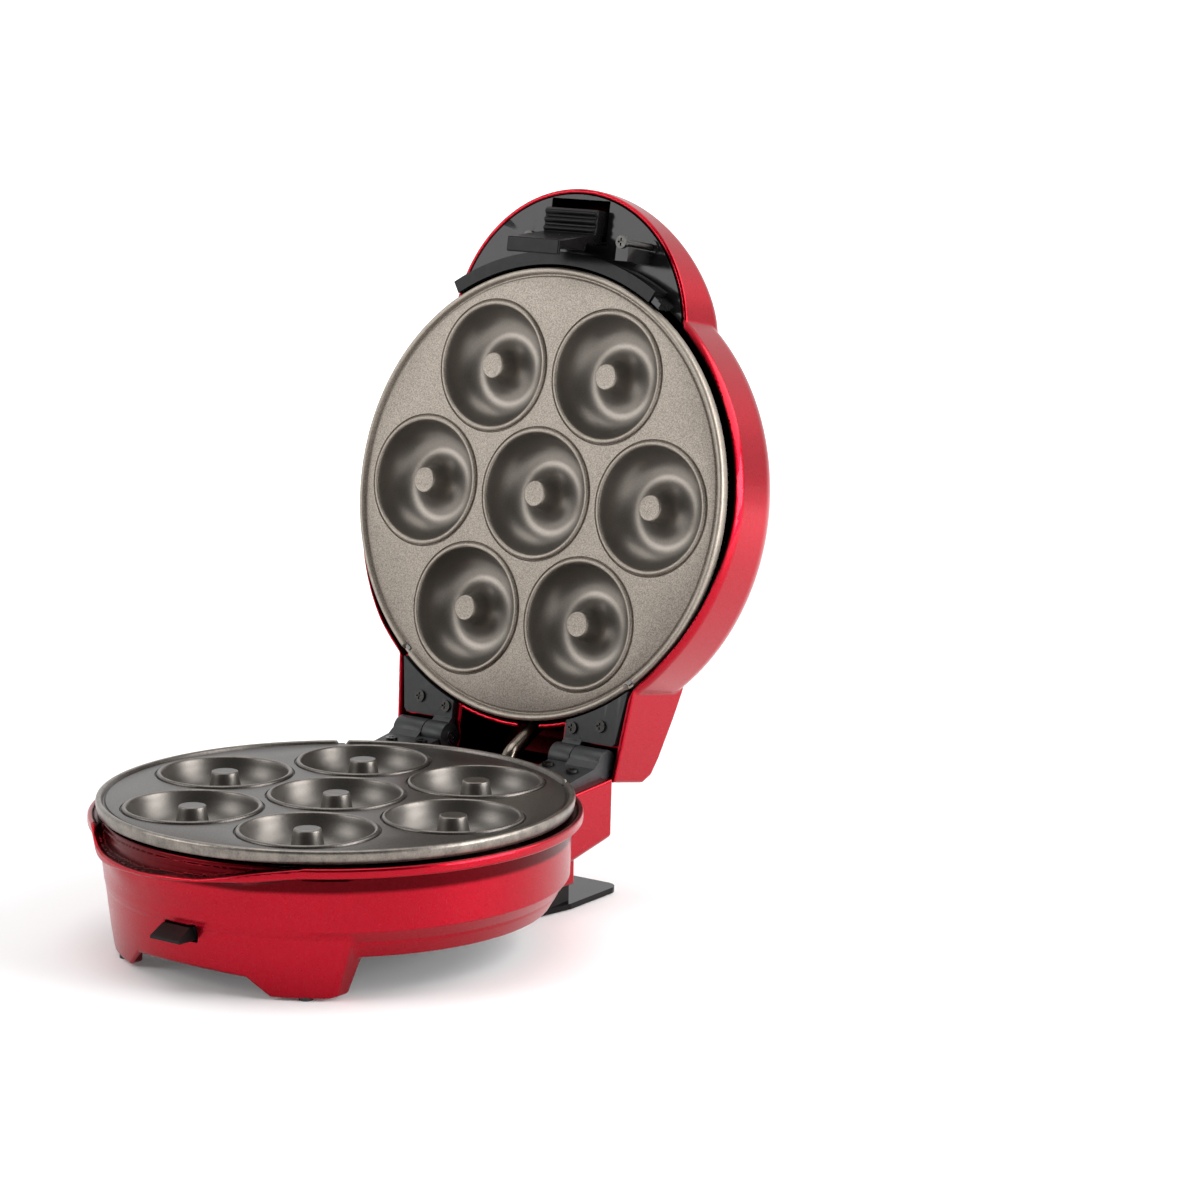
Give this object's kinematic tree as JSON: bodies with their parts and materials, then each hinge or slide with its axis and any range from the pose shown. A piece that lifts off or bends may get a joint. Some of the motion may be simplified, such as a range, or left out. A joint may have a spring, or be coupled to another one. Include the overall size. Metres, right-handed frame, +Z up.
{
  "type": "ring cake maker",
  "caption": "Countertop clamshell ring-cake maker: round base and hinged lid with a latch, and lift-out plates with ring-shaped cups, shown open.",
  "frame": {"origin": "centre of the footprint box, on the table the feet stand on", "axes": "+X to the machine's left-to-right width as seen from the front, +Y from the front to the hinge, +Z up; the lid is stored open"},
  "size_m": [0.2076, 0.2956, 0.3051],
  "materials": {
    "red_shell": "glossy metallic red lacquer",
    "nonstick_base": "dark grey-bronze non-stick coating with a fine metal flake, satin",
    "nonstick_lid": "dark grey-bronze non-stick coating with a fine metal flake, satin",
    "black_gloss": "moulded black plastic, smooth and glossy",
    "latch_black": "moulded black plastic, glossy with fine ribs",
    "foot_black": "moulded black plastic, smooth and glossy",
    "hinge_plastic": "dark blue-grey moulded plastic, fine matt",
    "cover_plastic": "dark grey moulded plastic, fine texture",
    "release_plastic": "black moulded plastic, satin",
    "screw_steel": "dark plated steel screws",
    "pin_steel": "drawn steel rod",
    "bracket_steel": "pressed zinc-plated steel",
    "reflector_aluminium": "pressed bright aluminium sheet",
    "element_steel": "heat-darkened tubular steel",
    "thermostat_body": "ceramic-filled moulding",
    "fuse_sleeve": "woven glass sleeve",
    "terminal_plastic": "natural nylon",
    "rubber": "soft black rubber",
    "gland_rubber": "moulded black rubber",
    "conduit_sleeve": "dark heat-resistant sleeve with a slight sheen",
    "spring_steel": "bright spring steel",
    "lens_power": "clear red lens",
    "lens_ready": "clear green lens",
    "lamp_glass": "clear glass bulb"
  },
  "bodies": {
    "base": {"base_shell": "red_shell", "base_bottom_cover": "cover_plastic", "bottom_cover_screws": "screw_steel", "rear_foot": "foot_black", "rear_foot_screws": "screw_steel", "rear_foot_bracket": "bracket_steel", "foot_pads": "rubber", "base_heat_reflector": "reflector_aluminium", "base_reflector_screws": "screw_steel", "base_heating_element": "element_steel", "base_element_clips": "bracket_steel", "base_thermostat": "thermostat_body", "base_thermal_fuse": "fuse_sleeve", "terminal_block": "terminal_plastic", "cord_gland": "gland_rubber", "base_release_spring": "spring_steel", "base_spring_stop": "cover_plastic", "base_plate_locators": "bracket_steel", "lower_hinge_leaf_right": "hinge_plastic", "lower_hinge_leaf_left": "hinge_plastic", "lower_hinge_screws": "screw_steel", "hinge_pin_right": "pin_steel", "hinge_pin_left": "pin_steel", "conduit_grommet": "gland_rubber", "wiring_conduit": "conduit_sleeve"},
    "lid": {"lid_shell": "red_shell", "upper_hinge_leaf_right": "hinge_plastic", "upper_hinge_leaf_left": "hinge_plastic", "upper_hinge_screws": "screw_steel", "lid_heat_reflector": "reflector_aluminium", "lid_reflector_screws": "screw_steel", "lid_heating_element": "element_steel", "lid_element_clips": "bracket_steel", "lid_thermal_fuse": "fuse_sleeve", "lid_thermostat": "thermostat_body", "indicator_lens_power": "lens_power", "indicator_lens_ready": "lens_ready", "indicator_lamps": "lamp_glass", "handle_liner": "black_gloss", "plate_guard": "black_gloss", "guard_screws": "screw_steel", "latch_detent_spring": "spring_steel", "liner_screw": "screw_steel", "liner_fixing_screw": "screw_steel", "lid_plate_locators": "bracket_steel"},
    "base_plate": {"base_cooking_plate": "nonstick_base"},
    "base_release": {"base_release_tab": "release_plastic"},
    "latch": {"lid_latch": "latch_black"},
    "lid_plate": {"lid_cooking_plate": "nonstick_lid"},
    "lid_catch": {"lid_plate_catch": "black_gloss"}
  },
  "joints": [
    {"name": "lid_hinge", "type": "hinge", "parent": "base", "child": "lid", "pos_m": [0, 0.06933, 0.0632], "axis": [1, 0, 0], "range_deg": [0, 100.23], "deforming": ["wiring_conduit"]},
    {"name": "lid_latch_slide", "type": "slide", "parent": "lid", "child": "latch", "axis": [0, -0.1775, -0.9841], "range_m": [0, 0.0035]},
    {"name": "base_plate_lift", "type": "slide", "parent": "base", "child": "base_plate", "axis": [0, 0, -1], "range_m": [-0.03, 0]},
    {"name": "lid_plate_pull", "type": "slide", "parent": "lid", "child": "lid_plate", "axis": [0, 0.9841, -0.1775], "range_m": [-0.015, 0]},
    {"name": "base_release_press", "type": "slide", "parent": "base", "child": "base_release", "axis": [0, 1, 0], "range_m": [0, 0.004], "stiffness_N_per_m": 400, "springref_m": -0.003, "deforming": ["base_release_spring"]},
    {"name": "lid_catch_press", "type": "slide", "parent": "lid", "child": "lid_catch", "axis": [0.8387, -0.0967, -0.536], "range_m": [0, 0.002], "stiffness_N_per_m": 300, "springref_m": -0.002}
  ]
}
